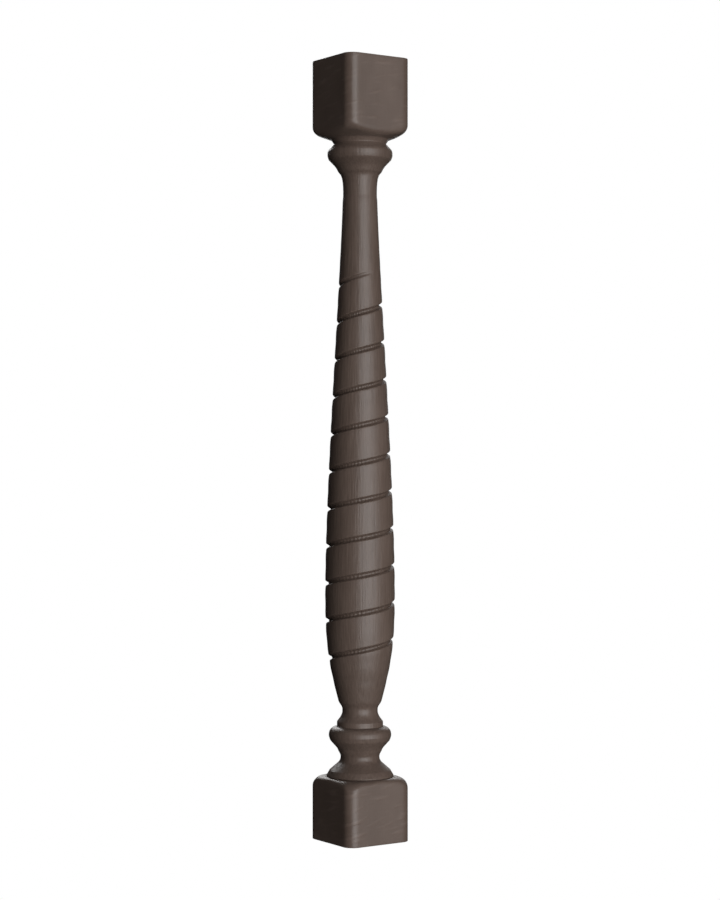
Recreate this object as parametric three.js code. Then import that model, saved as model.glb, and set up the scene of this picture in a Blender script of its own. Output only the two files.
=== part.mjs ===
// Rope-twist spindle: a turned baluster in dark stained hardwood, made from one square blank.
// Square blocks stay at both ends. Between them the blank is turned round: mouldings, a slim
// neck and a long vase with one rope groove that winds round it.
// Millimetres, +Z up. The origin is the centre of the underside, and the flat faces of the
// blocks look along X and Y.
import * as THREE from 'three';
import { ParametricGeometry } from 'three/addons/geometries/ParametricGeometry.js';
import { mergeVertices } from 'three/addons/utils/BufferGeometryUtils.js';

// Driving dimensions of the blank
const spindleHeight = 930;
const blankSide = 89; // a dressed 90 mm square
const blankEdgeRadius = 12.7; // the four long edges are rounded over

// Blocks left square, each with a turned shoulder whose rim bends softly into the flat faces
const lowerShoulderTop = 76;
const lowerShoulderRim = 75.2;
const upperShoulderFoot = 835;
const upperShoulderRim = 843.2;
const rimRadius = 57; // a shoulder turns up or down here, close to the blank's rounded edges
const clearOfBlank = 59; // a radius just outside those edges
const rimBend = 7; // the bend into a face is this long on either side of the rim

// Radii of the turned part
const neckRadius = 20.15;
const vaseRadius = 41.5;
const upperBeadRadius = 38.8;
const lowerBeadRadius = 37.3;
const filletRadius = 27.5; // thin band over the lower bead
const throatRadius = 21.1; // cove under the vase
const lowerThroatRadius = 23.2; // cove over the plate
const plateRadius = 40.3; // flared plate that lies on the lower block

// Heights of the vase
const vaseFoot = 166;
const vaseWidest = 292;
const vaseTop = 762.3;

// Rope groove: one right-hand groove, cut with a soft lower rim
const groovePitch = 44.3;
const grooveDepth = 4.1;
const grooveBottom = 199.6; // height of its lower end
const grooveTop = 676.2; // and of its upper end
const grooveMark = 638.1; // the groove's middle has this height at the angle below
const grooveMarkAngle = -33.9; // degrees round from +X
const runOutBottom = 0.45; // turns over which the groove runs out at its lower end
const runOutTop = 0.75;

// Section of the groove and the strand above it: distance along the spindle from the middle
// of the groove, and the share of the full depth there
const strandSection = [
  { offset: -6.6, share: 0 },
  { offset: -3.9, share: 0.16 },
  { offset: -1.2, share: 1 },
  { offset: 1.2, share: 1 },
  { offset: 3.8, share: 0 },
  { offset: 20.7, share: 0 },
];

// The rows of the twisted stretch follow the groove. Past these heights they lie level.
const twistedFoot = 186;
const twistedTop = 690;

// Fineness of the faceted solid
const faceSegments = 5; // steps round the axis over a flat face of the blank
const edgeSegments = 3; // and over a rounded edge
const rimSteps = 4;
const smallCurveSteps = 2;
const broadCurveSteps = 5;
const broadCurveLength = 15; // an eased corner longer than this gets the broad steps
const outlineSamples = 160;
const mergeDistance = 1e-4;

// Each row is a corner of the turned outline: radius, height, then the lengths before and
// after the corner that are eased into a curve. Both outlines run upwards.
const lowerCorners = [
  [38.6, lowerShoulderTop],
  [plateRadius, 76.4],
  [36.3, 83.7],
  [lowerThroatRadius, 95, 5, 4],
  [lowerThroatRadius, 101.7, 2, 2],
  [25.9, 106.5], // faint ridge between two coves
  [27, 109.6, 2.5, 2.5],
  [35.7, 119.2, 1.5, 1.5],
  [lowerBeadRadius, 124.4],
  [lowerBeadRadius, 134.9, 10, 10.5], // rounded top of the lower bead
  [filletRadius, 135.6],
  [filletRadius, 141.3],
  [throatRadius, 149.9, 6, 4],
  [throatRadius, 158.2, 2.5, 2.5],
  [24.8, 163.8],
];

const upperCorners = [
  [neckRadius, 767.7],
  [neckRadius, 790.6, 19, 7.2], // the neck opens out under the upper bead
  [25.8, 796.2],
  [28.8, 802.4, 6.5, 4],
  [37.5, 811.2, 1.2, 1.2],
  [upperBeadRadius, 815.6],
  [upperBeadRadius, 821.5, 2.5, 2.5],
  [30.9, 829.9, 0.8, 0.8],
  [34.5, upperShoulderFoot],
];

// The shoulders, from the turned part outwards
const lowerShoulder = [
  [38.6, lowerShoulderTop],
  [rimRadius, lowerShoulderRim, 16, 8.6],
  [clearOfBlank, lowerShoulderRim - 9.7],
];

const upperShoulder = [
  [34.5, upperShoulderFoot],
  [rimRadius, upperShoulderRim, 6.3, 3.7],
  [clearOfBlank, upperShoulderRim + 3.2],
];

function towards(from, to, length) {
  return from.clone().add(to.clone().sub(from).setLength(length));
}

// An outline as points, with its eased corners cut into short steps
function easedCorners(corners) {
  const places = corners.map(([radius, height]) => new THREE.Vector2(radius, height));
  return corners.flatMap(([, , before, after], index) => {
    const corner = places[index];
    if (!before) {
      return [corner];
    }
    const start = towards(corner, places[index - 1], before);
    const end = towards(corner, places[index + 1], after);
    const steps = before + after > broadCurveLength ? broadCurveSteps : smallCurveSteps;
    return new THREE.QuadraticBezierCurve(start, corner, end).getPoints(steps);
  });
}

// The vase swells quickly from its foot to its widest place, then tapers slowly to the neck
function vaseOutline() {
  const widest = new THREE.Vector2(vaseRadius, vaseWidest);
  const swell = new THREE.CubicBezierCurve(
    new THREE.Vector2(25.8, vaseFoot),
    new THREE.Vector2(38, 212.5),
    new THREE.Vector2(vaseRadius, 235.5),
    widest,
  );
  const taper = new THREE.CubicBezierCurve(
    widest,
    new THREE.Vector2(vaseRadius, 424),
    new THREE.Vector2(23.1, 672),
    new THREE.Vector2(neckRadius + 0.55, vaseTop),
  );
  return [...swell.getPoints(outlineSamples), ...taper.getPoints(outlineSamples).slice(1)];
}

const vase = vaseOutline();

// One coordinate of an outline, read where the other coordinate has this value
function readOutline(outline, wanted, known, value) {
  const next = Math.max(1, outline.findIndex((point) => point[known] >= value));
  const low = outline[next - 1];
  const high = outline[next];
  return THREE.MathUtils.mapLinear(value, low[known], high[known], low[wanted], high[wanted]);
}

function vaseRadiusAt(height) {
  return readOutline(vase, 'x', 'y', height);
}

// How much of its full depth the groove has where its middle is at this height
function depthShareAt(middleHeight) {
  const { smoothstep } = THREE.MathUtils;
  const turnsUp = (middleHeight - grooveBottom) / groovePitch;
  const turnsDown = (grooveTop - middleHeight) / groovePitch;
  return Math.min(smoothstep(turnsUp, 0, runOutBottom), smoothstep(turnsDown, 0, runOutTop));
}

// A level row of the surface: the same radius and height all the way round
function levelRow(point) {
  return () => point;
}

// A row that climbs with the groove by one pitch in a turn, and lies level at both limits
function windingRow(lap, { offset, share }) {
  return (turn) => {
    const middle = grooveMark + groovePitch * (lap + turn - grooveMarkAngle / 360);
    const height = THREE.MathUtils.clamp(middle + offset, twistedFoot, twistedTop);
    const cut = grooveDepth * share * depthShareAt(middle);
    return new THREE.Vector2(vaseRadiusAt(height) - cut, height);
  };
}

// The twisted stretch: the rows of every lap that comes between its foot and its top,
// with a level row of the vase at both limits
function twistedRows() {
  const firstLap = Math.floor((twistedFoot - grooveMark) / groovePitch) - 1;
  const lastLap = Math.ceil((twistedTop - grooveMark) / groovePitch) + 1;
  const rows = [];
  for (let lap = firstLap; lap <= lastLap; lap += 1) {
    rows.push(...strandSection.map((place) => windingRow(lap, place)));
  }
  const [foot, top] = [twistedFoot, twistedTop].map(
    (height) => levelRow(new THREE.Vector2(vaseRadiusAt(height), height)),
  );
  return [foot, ...rows, top];
}

function plainVaseRows(heights) {
  return heights.map((height) => levelRow(new THREE.Vector2(vaseRadiusAt(height), height)));
}

// Directions of the surface's columns round the axis: equal steps over each flat face of the
// blank, and finer ones over each rounded edge
const flatHalfWidth = blankSide / 2 - blankEdgeRadius;
const flatHalfAngle = Math.atan2(flatHalfWidth, blankSide / 2);

function columnAngles() {
  const faceStep = 2 * flatHalfAngle / faceSegments;
  const edgeStep = (Math.PI / 2 - 2 * flatHalfAngle) / edgeSegments;
  const angles = [];
  for (let face = 0; face < 4; face += 1) {
    const middle = face * Math.PI / 2;
    for (let step = 0; step < faceSegments; step += 1) {
      angles.push(middle - flatHalfAngle + step * faceStep);
    }
    for (let step = 0; step < edgeSegments; step += 1) {
      angles.push(middle + flatHalfAngle + step * edgeStep);
    }
  }
  return angles;
}

// Distance from the axis to the side of the blank: a flat face, or the circle of an edge
function sideRadiusAt(angle) {
  const quarter = Math.PI / 2;
  const fromFace = Math.abs(angle - quarter * Math.round(angle / quarter));
  if (fromFace <= flatHalfAngle) {
    return blankSide / 2 / Math.cos(fromFace);
  }
  const circleDistance = flatHalfWidth * Math.SQRT2;
  const fromDiagonal = quarter / 2 - fromFace;
  const halfChord = Math.sqrt(blankEdgeRadius ** 2 - (circleDistance * Math.sin(fromDiagonal)) ** 2);
  return circleDistance * Math.cos(fromDiagonal) + halfChord;
}

// A block from its shoulder to its end: the shoulder comes out to the side of the blank, bends
// softly into it, and the side runs on to the sawn end
function blockRows(corners, endHeight) {
  const shoulder = easedCorners(corners);
  const towardsEnd = Math.sign(endHeight - shoulder[0].y);
  const bendRow = (share) => (turn, angle) => {
    const side = sideRadiusAt(angle);
    const startRadius = Math.max(side - rimBend, shoulder[0].x);
    const start = new THREE.Vector2(startRadius, readOutline(shoulder, 'y', 'x', startRadius));
    const rim = new THREE.Vector2(side, readOutline(shoulder, 'y', 'x', side));
    const end = new THREE.Vector2(side, rim.y + towardsEnd * rimBend);
    return new THREE.QuadraticBezierCurve(start, rim, end).getPoint(share);
  };
  const rows = [];
  for (let step = 1; step <= rimSteps; step += 1) {
    rows.push(bendRow(step / rimSteps));
  }
  rows.push((turn, angle) => new THREE.Vector2(sideRadiusAt(angle), endHeight));
  rows.push(levelRow(new THREE.Vector2(0, endHeight)));
  return rows;
}

function spindleSurface() {
  const columns = columnAngles();
  const rows = [
    ...blockRows(lowerShoulder, 0).reverse(),
    ...easedCorners(lowerCorners).map(levelRow),
    ...plainVaseRows([vaseFoot, 173, 180]),
    ...twistedRows(),
    ...plainVaseRows([720, vaseTop]),
    ...easedCorners(upperCorners).map(levelRow),
    ...blockRows(upperShoulder, spindleHeight),
  ];
  const lastRow = rows.length - 1;
  return new ParametricGeometry((around, up, target) => {
    const column = Math.round(around * columns.length);
    const angle = columns[column % columns.length]; // the last column lies exactly on the first
    const turn = angle / (2 * Math.PI) + Math.floor(column / columns.length);
    const place = rows[Math.round(up * lastRow)](turn, angle);
    return target.set(place.x * Math.cos(angle), place.x * Math.sin(angle), place.y);
  }, columns.length, lastRow);
}

// One closed skin with shared vertices, without the faces that shrink to nothing on the axis
// and where winding rows lie level
function closedSkin(surface) {
  surface.deleteAttribute('normal');
  surface.deleteAttribute('uv');
  const skin = mergeVertices(surface, mergeDistance);
  const corners = Array.from(skin.index.array);
  const faces = [];
  for (let i = 0; i < corners.length; i += 3) {
    const [a, b, c] = corners.slice(i, i + 3);
    if (a !== b && b !== c && c !== a) {
      faces.push(a, b, c);
    }
  }
  skin.setIndex(faces);
  skin.computeVertexNormals();
  return skin;
}

const darkStainedWood = new THREE.MeshStandardMaterial({
  name: 'dark_stained_wood',
  color: new THREE.Color(0.105, 0.078, 0.064),
  roughness: 0.42,
  metalness: 0,
});

const spindle = new THREE.Mesh(closedSkin(spindleSurface()), darkStainedWood);
spindle.name = 'rope_twist_spindle';

const object = new THREE.Group();
object.add(spindle);

export default object;
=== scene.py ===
import math

import bpy
import numpy as np
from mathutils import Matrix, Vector


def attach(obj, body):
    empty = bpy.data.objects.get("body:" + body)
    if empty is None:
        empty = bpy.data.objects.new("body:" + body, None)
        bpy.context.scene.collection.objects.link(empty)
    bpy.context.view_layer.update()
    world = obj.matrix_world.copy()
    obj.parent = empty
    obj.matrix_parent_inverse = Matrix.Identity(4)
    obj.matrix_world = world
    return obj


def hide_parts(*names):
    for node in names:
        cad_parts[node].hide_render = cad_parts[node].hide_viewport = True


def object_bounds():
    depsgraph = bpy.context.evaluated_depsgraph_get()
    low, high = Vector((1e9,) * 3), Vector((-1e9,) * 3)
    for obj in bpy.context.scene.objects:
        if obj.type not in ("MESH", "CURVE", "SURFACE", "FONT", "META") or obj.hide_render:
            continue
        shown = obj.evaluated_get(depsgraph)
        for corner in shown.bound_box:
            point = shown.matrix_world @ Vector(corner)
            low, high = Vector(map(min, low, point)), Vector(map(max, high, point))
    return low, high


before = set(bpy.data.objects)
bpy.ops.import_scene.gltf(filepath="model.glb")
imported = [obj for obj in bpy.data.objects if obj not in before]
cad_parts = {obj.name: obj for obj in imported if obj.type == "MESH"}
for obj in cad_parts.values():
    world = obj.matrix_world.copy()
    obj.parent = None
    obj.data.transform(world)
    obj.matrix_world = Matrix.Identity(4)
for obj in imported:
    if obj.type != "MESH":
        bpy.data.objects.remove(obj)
cadBox = [list(corner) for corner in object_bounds()]
scene = bpy.context.scene

mm = 0.001
blankSide = (cadBox[1][0] - cadBox[0][0]) / mm
spindleHeight = (cadBox[1][2] - cadBox[0][2]) / mm

# What a user would change on the turned shape, in millimetres. A row of a corner list is radius,
# height and the lengths before and after the corner that are eased into a curve.
turning = {
    "columns": 200,             # steps round the axis
    "edgeRadius": 12.7,         # long edges of the blank
    "rimBend": 7,               # a shoulder bends into a flat face over this length, either way
    "bendClear": 1,             # and the bend keeps this far from the mouldings
    "endArris": 0.6,            # softening of the sawn ends
    "softening": 0.45,          # every other turned corner is eased by this much
    "lowerShoulder": [[38.2, 76], [57, 75.2, 16, 8.6], [59, 65.5]],
    "lowerMouldings": [
        [38.2, 76], [40.3, 76.7, 0.8, 0.8], [36.3, 83.7], [23.2, 95, 5, 4], [23.2, 101.7, 2, 2],
        [25.9, 106.5], [27, 109.6, 2.5, 2.5], [35.7, 119.2, 1.5, 1.5], [37.3, 124.4],
        [37.3, 134.9, 10, 10.5], [27.5, 135.6], [27.5, 141.3], [21.1, 149.9, 6, 4],
        [21.1, 158.2, 2.5, 2.5], [24.8, 163.8], [25.8, 166],
    ],
    "swell": [[25.8, 166], [38, 212.5], [41.5, 235.5], [41.5, 292]],
    "taper": [[41.5, 292], [41.5, 424], [23.1, 672], [20.7, 762.3]],
    "upperMouldings": [
        [20.7, 762.3], [20.15, 767.7], [20.15, 790.6, 19, 5.4], [25.8, 796.2, 2.4, 2.4],
        [28.8, 802.4, 4.2, 4], [37.5, 811.2, 1.2, 1.2], [38.8, 815.6],
        [38.8, 821.5, 2.5, 2.5], [30.9, 829.9, 0.8, 0.8], [34.5, 835],
    ],
    "upperShoulder": [[34.5, 835], [57, 843.2, 6.3, 3.7], [59, 846.4]],
    "rippleDepth": 0.15,        # faint rings that the gouge left on the vase
    "rippleMark": 647.1,        # height of one of their crests
    "rippleFadeIn": 30,         # they die out over these lengths at the foot and the top
    "rippleFadeOut": 160,
}

# What a user would change on the rope groove, in millimetres and turns
groove = {
    "pitch": 44.3,
    "depth": 4.1,
    "floorHalfWidth": 1.0,
    "rimHalfWidth": 3.95,
    "leastWidth": 0.7,          # share of its width where it has run out to nothing
    "sag": 0.1,                 # share of the depth by which the lower rim is worn down
    "sagReach": 8.6,            # and how far below the middle that wear reaches
    "chatter": 0.07,            # share of the depth by which the gouge skipped, and how often:
    "chatterPerTurn": 50,
    "mark": 638.1,              # the groove's middle has this height at the angle below
    "markAngle": -33.9,         # degrees round from +X
    "bottom": 199.6,            # heights of the groove's two ends
    "top": 676.2,
    "runOutBottom": 0.45,       # turns over which it runs out there
    "runOutTop": 0.9,
    "twistedFoot": 186,         # the mesh follows the groove between these two heights
    "twistedTop": 690,
    "rows": (-8.6, -6, -4.6, -3.9, -3.2, -2.5, -1.8, -1, 0, 1, 1.8, 2.5, 3.2),  # from its middle
    "rimRow": 0.7,              # and one row this far above the upper rim
}

# What a user would change on the fineness of the mesh: steps from row to row
fineness = {
    "mouldingSpacing": 1.2,     # millimetres along the outline
    "shoulderSpacing": 0.3,
    "curveSteps": (1.6, 3, 10),  # an eased corner's steps: so many a spacing, at least, at most
    "straightSpacings": 2.2,    # a straight run's step, in spacings
    "strandSteps": 6,           # between two laps of the groove
    "vaseFootSteps": 7,
    "vaseTopSteps": 14,
    "shoulderSteps": 7,
    "bendSteps": 8,
    "sideShares": (0.05, 0.35, 0.65, 0.95, 1),  # rows of a block's sides, as shares of their height
    "arrisSteps": 3,
    "endShares": (0.97, 0.8, 0.4, 0),  # rows of a sawn end, as shares of its radius
}


# Equal steps from 0 to 1 without the 0, one to a row
def stepShares(steps):
    return np.linspace(0, 1, steps + 1)[1:, None]


# A section through a corner list. Each eased corner is a quadratic curve:
# point = (1-t)^2 start + 2t(1-t) corner + t^2 end. Straight runs are cut to steps of so many
# spacings.
def easedOutline(corners, softening, spacing):
    places = np.array([corner[:2] for corner in corners], float)
    stepsPerSpacing, fewest, most = fineness["curveSteps"]
    points = [places[:1]]
    for i in range(1, len(corners) - 1):
        before, after = (corners[i][2:] + [softening, softening])[:2]
        toPrevious, toNext = places[i - 1] - places[i], places[i + 1] - places[i]
        start = places[i] + toPrevious / np.linalg.norm(toPrevious) * before
        end = places[i] + toNext / np.linalg.norm(toNext) * after
        steps = int(np.clip((before + after) / spacing * stepsPerSpacing, fewest, most))
        t = np.linspace(0, 1, steps + 1)[:, None]
        points.append((1 - t) ** 2 * start + 2 * t * (1 - t) * places[i] + t ** 2 * end)
    points.append(places[-1:])
    outline = np.vstack(points)
    runs = np.linalg.norm(np.diff(outline, axis=0), axis=1)
    longestStep = fineness["straightSpacings"] * spacing
    nothing = 1e-6
    filled = [outline[:1]]
    for a, b, run in zip(outline[:-1], outline[1:], runs):
        if run > nothing:
            filled.append(a + (b - a) * stepShares(int(np.ceil(run / longestStep))))
    return np.vstack(filled)


# A cubic curve through four control points:
# point = (1-t)^3 a + 3t(1-t)^2 b + 3t^2(1-t) c + t^3 d
def cubicOutline(points, steps=400):
    a, b, c, d = np.array(points, float)
    t = np.linspace(0, 1, steps + 1)[:, None]
    return (1 - t) ** 3 * a + 3 * t * (1 - t) ** 2 * b + 3 * t ** 2 * (1 - t) * c + t ** 3 * d


vaseCurve = np.vstack([cubicOutline(turning["swell"]), cubicOutline(turning["taper"])[1:]])


# Smooth step: 3t^2 - 2t^3 with t held between 0 and 1
def smooth(t):
    t = np.clip(t, 0, 1)
    return t * t * (3 - 2 * t)


# Radius of the vase: the swell and the taper, plus a ripple that has a crest at every half pitch
# and dies out towards both ends of the vase, as depth * cos(phase) * fade in * fade out
def vaseRadius(height):
    radius = np.interp(height, vaseCurve[:, 1], vaseCurve[:, 0])
    phase = 2 * np.pi * (height - turning["rippleMark"]) / (groove["pitch"] / 2)
    fadeIn = smooth((height - vaseCurve[0, 1]) / turning["rippleFadeIn"])
    fadeOut = smooth((vaseCurve[-1, 1] - height) / turning["rippleFadeOut"])
    return radius + turning["rippleDepth"] * np.cos(phase) * fadeIn * fadeOut


# Radius of the square blank in a direction: half / cos a on a flat face, and the far side of the
# edge's circle on a rounded edge, where a is the angle to the nearest face's middle
def blankRadius(angle):
    half = blankSide / 2
    edge = turning["edgeRadius"]
    straight = half - edge
    a = np.abs((angle + np.pi / 4) % (np.pi / 2) - np.pi / 4)
    halfChord = np.sqrt(np.maximum(edge ** 2 - straight ** 2 * (np.cos(a) - np.sin(a)) ** 2, 0))
    onEdge = straight * (np.cos(a) + np.sin(a)) + halfChord
    return np.where(half * np.tan(a) <= straight, half / np.cos(a), onEdge)


# Share of the groove's depth at a distance along the axis from its middle: full on the floor,
# a half cosine up to the rim, and a worn lip on the lower side. A shallower groove is narrower:
# width / full width = least + (1 - least) * depth / full depth.
def grooveShare(offset, depth):
    least = groove["leastWidth"]
    offset = offset / (least + (1 - least) * depth / groove["depth"])
    wall = groove["rimHalfWidth"] - groove["floorHalfWidth"]
    rise = (np.abs(offset) - groove["floorHalfWidth"]) / wall
    cut = 0.5 + 0.5 * np.cos(np.pi * np.clip(rise, 0, 1))
    wear = groove["sag"] * (1 - smooth(-offset / groove["sagReach"])) * (offset < 0)
    return np.maximum(cut, wear)


# Depth of the groove where its middle is at a height: it runs out smoothly at its lower end, and
# starts at once at its upper end, as 1 - (1-t)^3 with t the turns from there over the run-out
def grooveDepth(middle):
    up = smooth((middle - groove["bottom"]) / groove["pitch"] / groove["runOutBottom"])
    turnsDown = (groove["top"] - middle) / groove["pitch"]
    down = 1 - (1 - np.clip(turnsDown / groove["runOutTop"], 0, 1)) ** 3
    return groove["depth"] * np.minimum(up, down)


angle = 2 * np.pi * np.arange(turning["columns"]) / turning["columns"]
turn = angle / (2 * np.pi)


# Rows that lie level, one to a point of the outline: the same radius and height in every column
def levelRows(outline):
    ones = np.ones(len(angle))
    return outline[:, :1] * ones, outline[:, 1:] * ones


# Rows that follow the groove: height = mark + pitch * (lap + turn - markTurn) + offset, held
# between the foot and the top of the twisted stretch;
# radius = vase - depth * share(offset, depth) * (1 + chatter * cos(count * angle))
def windingRows():
    rim = groove["rimHalfWidth"]
    cut = np.array([*groove["rows"], rim, rim + groove["rimRow"]])
    strand = np.linspace(cut[-1], groove["pitch"] + cut[0], fineness["strandSteps"] + 1)[1:-1]
    offsets = np.concatenate([cut, strand])
    span = groove["twistedTop"] - groove["twistedFoot"]
    laps = np.arange(-int(span / groove["pitch"]) - 2, 3)
    lap, offset = (grid.ravel()[:, None] for grid in np.meshgrid(laps, offsets, indexing="ij"))
    middle = groove["mark"] + groove["pitch"] * (lap + turn - groove["markAngle"] / 360)
    height = np.clip(middle + offset, groove["twistedFoot"], groove["twistedTop"])
    skips = 1 + groove["chatter"] * np.cos(2 * np.pi * groove["chatterPerTurn"] * turn)
    depth = grooveDepth(middle)
    radius = vaseRadius(height) - depth * grooveShare(offset, depth) * skips
    return radius, height, len(offsets)


# A block, from the moulding out over its shoulder, round the rim, along the faces and over the
# end to the axis. The shoulder is a turned outline. Where it reaches the blank's radius it bends
# into the side: point = (1-t)^2 start + 2t(1-t) rim + t^2 end, with both ends one bend away.
def blockRows(outline, end):
    side = blankRadius(angle)
    bend = turning["rimBend"]
    outwards = 1 if end > outline[0, 1] else -1
    rim = np.interp(side, outline[:, 0], outline[:, 1])
    startRadius = np.maximum(side - bend, outline[0, 0] + turning["bendClear"])
    start = np.interp(startRadius, outline[:, 0], outline[:, 1])
    share = stepShares(fineness["shoulderSteps"])
    radius = [outline[0, 0] + (startRadius - outline[0, 0]) * share]
    height = [np.interp(radius[0], outline[:, 0], outline[:, 1])]
    t = stepShares(fineness["bendSteps"])
    radius.append((1 - t) ** 2 * startRadius + (1 - (1 - t) ** 2) * side)
    height.append((1 - t) ** 2 * start + 2 * t * (1 - t) * rim + t ** 2 * (rim + outwards * bend))
    soft = turning["endArris"]
    low, high = height[-1][-1], end - outwards * soft
    share = np.array(fineness["sideShares"])[:, None]
    radius.append(side * np.ones_like(share))
    height.append(low + (high - low) * share)
    t = stepShares(fineness["arrisSteps"])
    radius.append(side - t ** 2 * soft)
    height.append(high + (end - high) * (1 - (1 - t) ** 2) * np.ones_like(side))
    share = np.array(fineness["endShares"])[:, None]
    radius.append((side - soft) * share)
    height.append(end * np.ones_like(radius[-1]))
    return np.vstack(radius), np.vstack(height)


# One closed skin over all rows, from the middle of the underside to the middle of the top.
# x = radius cos angle, y = radius sin angle, z = height. A winding row's last column joins the
# first column of the row one pitch higher, and vertices that lie level share one row.
def spindleMesh():
    foot, top = groove["twistedFoot"], groove["twistedTop"]
    softening, spacing = turning["softening"], fineness["mouldingSpacing"]
    lower = easedOutline(turning["lowerMouldings"], softening, spacing)
    upper = easedOutline(turning["upperMouldings"], softening, spacing)
    footHeights = np.linspace(lower[-1, 1], foot, fineness["vaseFootSteps"] + 1)[1:]
    topHeights = np.linspace(top, upper[0, 1], fineness["vaseTopSteps"] + 1)[:-1]
    lowerShoulder = easedOutline(turning["lowerShoulder"], 0, fineness["shoulderSpacing"])
    upperShoulder = easedOutline(turning["upperShoulder"], 0, fineness["shoulderSpacing"])
    lowerBlock = [rows[::-1] for rows in blockRows(lowerShoulder, 0)]
    upperBlock = blockRows(upperShoulder, spindleHeight)
    windingRadius, windingHeight, rowsPerLap = windingRows()
    parts = [
        lowerBlock,
        levelRows(lower),
        levelRows(np.column_stack([vaseRadius(footHeights), footHeights])),
        (windingRadius, windingHeight),
        levelRows(np.column_stack([vaseRadius(topHeights), topHeights])),
        levelRows(upper),
        upperBlock,
    ]
    radius = np.vstack([part[0] for part in parts])
    height = np.vstack([part[1] for part in parts])
    firstWinding = sum(len(part[0]) for part in parts[:3])
    afterWinding = firstWinding + len(windingRadius)
    rows, columns = radius.shape

    number = np.arange(rows * columns).reshape(rows, columns)
    winding = number[firstWinding:afterWinding]
    winding[:] = np.where(windingHeight <= foot, number[firstWinding - 1], winding)
    winding[:] = np.where(windingHeight >= top, number[afterWinding], winding)
    number[0] = number[0, 0]
    number[-1] = number[-1, 0]
    following = np.roll(number, -1, axis=1)
    nextLap = np.arange(firstWinding, afterWinding) + rowsPerLap
    following[firstWinding:afterWinding, -1] = number[np.minimum(nextLap, afterWinding), 0]

    a, b = number[:-1], following[:-1]
    c, d = following[1:], number[1:]
    triangles = np.concatenate([np.stack([a, b, c], -1).reshape(-1, 3),
                                np.stack([a, c, d], -1).reshape(-1, 3)])
    whole = ((triangles[:, 0] != triangles[:, 1]) & (triangles[:, 1] != triangles[:, 2])
             & (triangles[:, 2] != triangles[:, 0]))
    kept, triangles = np.unique(triangles[whole], return_inverse=True)
    places = np.stack([radius * np.cos(angle), radius * np.sin(angle), height], -1)
    return places.reshape(-1, 3)[kept] * mm, triangles.reshape(-1, 3)


# A smooth-shaded object at the origin, unturned and unscaled
def meshPiece(name, vertices, triangles, material):
    mesh = bpy.data.meshes.new(name)
    mesh.vertices.add(len(vertices))
    mesh.vertices.foreach_set("co", vertices.astype(np.float32).ravel())
    mesh.loops.add(triangles.size)
    mesh.loops.foreach_set("vertex_index", triangles.astype(np.int32).ravel())
    mesh.polygons.add(len(triangles))
    mesh.polygons.foreach_set("loop_start", np.arange(0, triangles.size, 3, dtype=np.int32))
    mesh.polygons.foreach_set("use_smooth", np.ones(len(triangles), bool))
    mesh.update(calc_edges=True)
    mesh.validate()
    mesh.materials.append(material)
    piece = bpy.data.objects.new(name, mesh)
    scene.collection.objects.link(piece)
    return piece


# What a user would change on the finish. A texture is the scale of its noise in repeats a metre,
# its detail, and the two noise values that become 0 and 1. A small scale along z draws a pattern
# out along the grain.
stain = {
    "pale": (0.188, 0.138, 0.114, 1),
    "dark": (0.122, 0.087, 0.070, 1),
    "poreStainAndGrooveShade": (0.06, 0.040, 0.031, 1),      # stain that gathered in the pores, and painted shade in the groove
    "poreShade": 0.3,                         # how far the pore stain and, below, the painted groove shade go towards that colour
    "paintedGrooveShade": 0.35,
    "grain": ((500, 500, 24), 4, 0.3, 0.7),
    "pores": ((1500, 1500, 110), 2, 0.62, 0.74),
    "mottle": ((26, 26, 14), 3, 0.3, 0.7),
    "rings": ((6, 6, 620), 2, 0, 1),          # faint rings from turning and sanding
    "strokes": ((1, 1, 1), 0, 0.54, 0.86),    # sanding strokes cross the faces of the blocks
    "patches": ((42, 42, 60), 1, 0.36, 0.6),  # and come in patches
    "strokesAcross": (-34, 30, 180),          # repeats a metre across a stroke, by x, y and z
    "strokesAlong": (34, 34, 5),
    "tone": {"grain": 0.55, "mottle": 0.45, "block": 0.2, "stroke": 0.6},  # weights, dark to pale
    "gloss": {"grain": 0.5, "mottle": 0.5, "stroke": 0.25},  # weights, low to high roughness
    "roughness": (0.31, 0.43),
    "grainOnBlocks": 0.12,                    # the blocks were sanded smoother
    "grainBump": 0.00014,                     # heights in metres
    "ringBump": 0.000035,
    "strokeBump": 0.0003,
    "blockTop": 0.078,                        # the lower block ends here, the upper one starts
    "blockFoot": 0.838,                       # here, and both fade over the next length
    "blockFade": 0.006,
}
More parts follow.
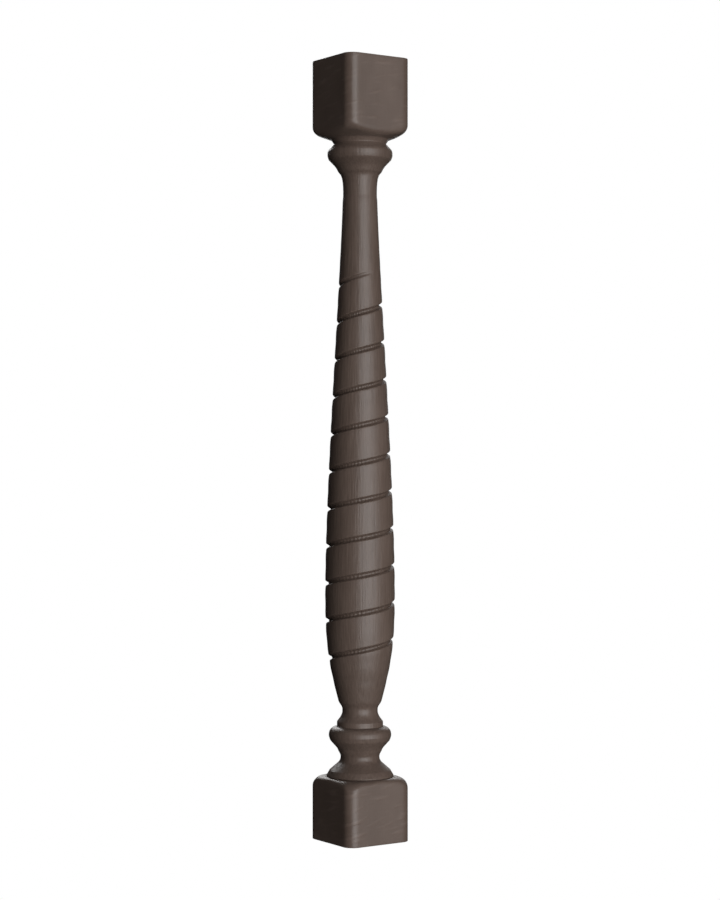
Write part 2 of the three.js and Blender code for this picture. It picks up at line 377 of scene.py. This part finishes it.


# A very dark brown stain under a satin clear coat. Tone = the weighted sum of grain, mottle,
# blocks and strokes. Colour = a mix of the dark and the pale stain by tone, darker where stain sits in
# the pores, and darkened with painted shade where the surface lies deep in the groove. Height = grain +
# rings + sanding strokes, the last in patches on the blocks only.
def darkStain():
    material = bpy.data.materials.new("darkStainedWood")
    material.use_nodes = True
    nodes, links = material.node_tree.nodes, material.node_tree.links
    shader = nodes["Principled BSDF"]
    place = nodes.new("ShaderNodeTexCoord").outputs["Object"]

    def remap(value, low, high, newLow=0, newHigh=1):
        node = nodes.new("ShaderNodeMapRange")
        limits = {"From Min": low, "From Max": high, "To Min": newLow, "To Max": newHigh}
        for key, number in limits.items():
            node.inputs[key].default_value = number
        links.new(value, node.inputs["Value"])
        return node.outputs["Result"]

    def texture(name, source=place):
        scale, detail, low, high = stain[name]
        mapping = nodes.new("ShaderNodeMapping")
        mapping.inputs["Scale"].default_value = scale
        links.new(source, mapping.inputs["Vector"])
        noise = nodes.new("ShaderNodeTexNoise")
        noise.inputs["Scale"].default_value = 1
        noise.inputs["Detail"].default_value = detail
        links.new(mapping.outputs["Vector"], noise.inputs["Vector"])
        return remap(noise.outputs["Fac"], low, high)

    # A socket takes a number as it is, and anything else by a link
    def feed(socket, value):
        if isinstance(value, (int, float, tuple)):
            socket.default_value = value
        else:
            links.new(value, socket)

    def calculate(operation, first, second):
        node = nodes.new("ShaderNodeMath")
        node.operation = operation
        feed(node.inputs[0], first)
        feed(node.inputs[1], second)
        return node.outputs["Value"]

    # Sum of weight * value over the named weights
    def weighted(weights, values):
        total = 0
        for name, weight in weights.items():
            total = calculate("ADD", total, calculate("MULTIPLY", values[name], weight))
        return total

    def blend(share, first, second):
        node = nodes.new("ShaderNodeMix")
        node.data_type = "RGBA"
        feed(node.inputs["Factor"], share)
        feed(node.inputs["A"], first)
        feed(node.inputs["B"], second)
        return node.outputs["Result"]

    def bump(height, distance, normal=None):
        node = nodes.new("ShaderNodeBump")
        node.inputs["Strength"].default_value = 1
        node.inputs["Distance"].default_value = distance
        links.new(height, node.inputs["Height"])
        if normal:
            links.new(normal, node.inputs["Normal"])
        return node.outputs["Normal"]

    # A place along a slanted direction: x * dx + y * dy + z * dz
    def slanted(direction):
        node = nodes.new("ShaderNodeVectorMath")
        node.operation = "DOT_PRODUCT"
        node.inputs[1].default_value = direction
        links.new(place, node.inputs[0])
        return node.outputs["Value"]

    split = nodes.new("ShaderNodeSeparateXYZ")
    links.new(place, split.inputs["Vector"])
    height = split.outputs["Z"]
    below = remap(height, stain["blockTop"], stain["blockTop"] - stain["blockFade"])
    above = remap(height, stain["blockFoot"], stain["blockFoot"] + stain["blockFade"])
    onBlock = calculate("ADD", below, above)
    offBlock = calculate("SUBTRACT", 1, onBlock)

    strokePlace = nodes.new("ShaderNodeCombineXYZ")
    links.new(slanted(stain["strokesAcross"]), strokePlace.inputs["X"])
    links.new(slanted(stain["strokesAlong"]), strokePlace.inputs["Y"])
    stroke = calculate("MULTIPLY", texture("strokes", strokePlace.outputs["Vector"]), texture("patches"))
    stroke = calculate("MULTIPLY", stroke, onBlock)
    grain = calculate("MULTIPLY", texture("grain"), remap(onBlock, 0, 1, 1, stain["grainOnBlocks"]))
    pores = calculate("MULTIPLY", texture("pores"), offBlock)
    rings = calculate("MULTIPLY", texture("rings"), offBlock)
    values = {"grain": grain, "mottle": texture("mottle"), "block": onBlock, "stroke": stroke}

    # Painted shade: the colour darkens by how deep the surface lies in the groove
    grooveShadeDepth = nodes.new("ShaderNodeAttribute")
    grooveShadeDepth.attribute_name = "grooveShadeDepth"
    poreStainAndGrooveShade = calculate("MULTIPLY", grooveShadeDepth.outputs["Fac"], stain["paintedGrooveShade"])
    colour = blend(weighted(stain["tone"], values), stain["dark"], stain["pale"])
    colour = blend(calculate("MULTIPLY", pores, stain["poreShade"]), colour, stain["poreStainAndGrooveShade"])
    colour = blend(poreStainAndGrooveShade, colour, stain["poreStainAndGrooveShade"])
    links.new(colour, shader.inputs["Base Color"])
    roughness = remap(weighted(stain["gloss"], values), 0, 1, *stain["roughness"])
    links.new(roughness, shader.inputs["Roughness"])

    normal = bump(grain, stain["grainBump"])
    normal = bump(rings, stain["ringBump"], normal)
    links.new(bump(stroke, stain["strokeBump"], normal), shader.inputs["Normal"])
    return material


vertices, triangles = spindleMesh()
spindle = meshPiece("ropeTwistSpindle", vertices, triangles, darkStain())
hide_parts("rope_twist_spindle")
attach(spindle, "root")

# How deep each vertex lies in the groove, from 0 to 1, for the painted shade that darkens the groove:
# the vase's radius less the vertex's own, over the groove's depth
radii = np.hypot(vertices[:, 0], vertices[:, 1]) / mm
heights = vertices[:, 2] / mm
inTwist = (heights > groove["twistedFoot"]) & (heights < groove["twistedTop"])
grooveShadeDepth = np.clip((vaseRadius(heights) - radii) / groove["depth"], 0, 1) * inTwist
attribute = spindle.data.attributes.new("grooveShadeDepth", "FLOAT", "POINT")
attribute.data.foreach_set("value", grooveShadeDepth.astype(np.float32))
print(f"spindle: {len(vertices)} vertices, {len(triangles)} triangles")

# What a user would change on the view
view = {
    "turn": -33.9,              # degrees, how far the camera stands round from facing +Y
    "distance": 2.537,
    "lens": 85,
    "sensor": 36,
}
right = Vector((math.cos(math.radians(view["turn"])), math.sin(math.radians(view["turn"])), 0))
towardsCamera = Vector((right.y, -right.x, 0))
up = Vector((0, 0, 1))
middle = Vector((0, 0, spindleHeight * mm / 2))

camera = bpy.data.objects.new("camera", bpy.data.cameras.new("camera"))
camera.data.lens = view["lens"]
camera.data.sensor_width = view["sensor"]
camera.location = middle + towardsCamera * view["distance"]
camera.rotation_euler = (-towardsCamera).to_track_quat("-Z", "Y").to_euler()
scene.collection.objects.link(camera)
scene.camera = camera
print(f"camera: {view['distance']} m from the axis, lens {view['lens']} mm")


# A soft box at a bearing round from the camera and an elevation, both in degrees, that looks at
# the spindle. Size and distance are in metres. glow is the radiance it shows.
def softBox(name, bearing, elevation, distance, width, height, glow):
    lamp = bpy.data.lights.new(name, "AREA")
    lamp.shape = "RECTANGLE"
    lamp.size, lamp.size_y = width, height
    lamp.energy = glow * math.pi * width * height
    bearing, elevation = math.radians(bearing), math.radians(elevation)
    direction = (towardsCamera * math.cos(bearing) + right * math.sin(bearing)) * math.cos(elevation)
    direction += up * math.sin(elevation)
    box = bpy.data.objects.new(name, lamp)
    box.location = middle + direction * distance
    box.rotation_euler = (-direction).to_track_quat("-Z", "Y").to_euler()
    box.visible_camera = False
    scene.collection.objects.link(box)
    return box


# What a user would change on the lights: bearing, elevation, distance, width, height, glow
lights = {
    "keyLight": (33, -1, 5, 2.0, 4.6, 3.6),
    "frontLight": (9, -1, 5, 1.8, 4.6, 2.8),
    "rightLight": (57, -1, 5, 2.0, 4.6, 1.35),
    "overhead": (12, 60, 4, 3.4, 2.6, 0.15),
    "backdrop": (180, 3.5, 5, 2.0, 0.7, 1.8),
    "backdropRight": (164, 4, 5, 1.3, 0.7, 0.8),
    "backLeft": (-166, 23, 5, 1.4, 1.7, 2.9),
    "sideLeft": (-150, 27, 5, 1.3, 1.3, 3.6),
    "backRight": (163, 21, 5, 1.3, 1.6, 1.2),
    "hairLight": (-177, 40, 5, 1.4, 1.5, 16),
}
surround = 0.01                 # radiance of the dark room, which only the spindle sees
for name, (bearing, elevation, distance, width, height, glow) in lights.items():
    softBox(name, bearing, elevation, distance, width, height, glow)

world = bpy.data.worlds.new("studio")
world.use_nodes = True
scene.world = world
nodes, links = world.node_tree.nodes, world.node_tree.links
nodes.clear()
path = nodes.new("ShaderNodeLightPath")
white = nodes.new("ShaderNodeBackground")
dim = nodes.new("ShaderNodeBackground")
dim.inputs["Color"].default_value = (surround, surround, surround, 1)
mix = nodes.new("ShaderNodeMixShader")
output = nodes.new("ShaderNodeOutputWorld")
links.new(path.outputs["Is Camera Ray"], mix.inputs["Fac"])
links.new(dim.outputs[0], mix.inputs[1])
links.new(white.outputs[0], mix.inputs[2])
links.new(mix.outputs[0], output.inputs["Surface"])
white.inputs["Color"].default_value = (1, 1, 1, 1)
white.inputs["Strength"].default_value = 1


# A plain floor in the backdrop's white. Only the camera sees it, so it takes no shadow, as in the
# photograph, and throws no light on the spindle.
def paleFloor(halfSide=6):
    share = np.array([[-1, -1], [1, -1], [1, 1], [-1, 1]]) * halfSide
    corners = np.column_stack([share, np.zeros(4)])
    mesh = bpy.data.meshes.new("floor")
    mesh.from_pydata(corners.tolist(), [], [(0, 1, 2, 3)])
    material = bpy.data.materials.new("paleFloor")
    material.use_nodes = True
    shader = material.node_tree.nodes["Principled BSDF"]
    shader.inputs["Base Color"].default_value = (0, 0, 0, 1)
    shader.inputs["Specular IOR Level"].default_value = 0
    shader.inputs["Emission Color"].default_value = (1, 1, 1, 1)
    shader.inputs["Emission Strength"].default_value = 1
    mesh.materials.append(material)
    floor = bpy.data.objects.new("floor", mesh)
    floor.visible_diffuse = False
    floor.visible_glossy = False
    floor.visible_shadow = False
    scene.collection.objects.link(floor)


paleFloor()
print("lights, world and floor are in place")

scene.view_settings.view_transform = "Standard"
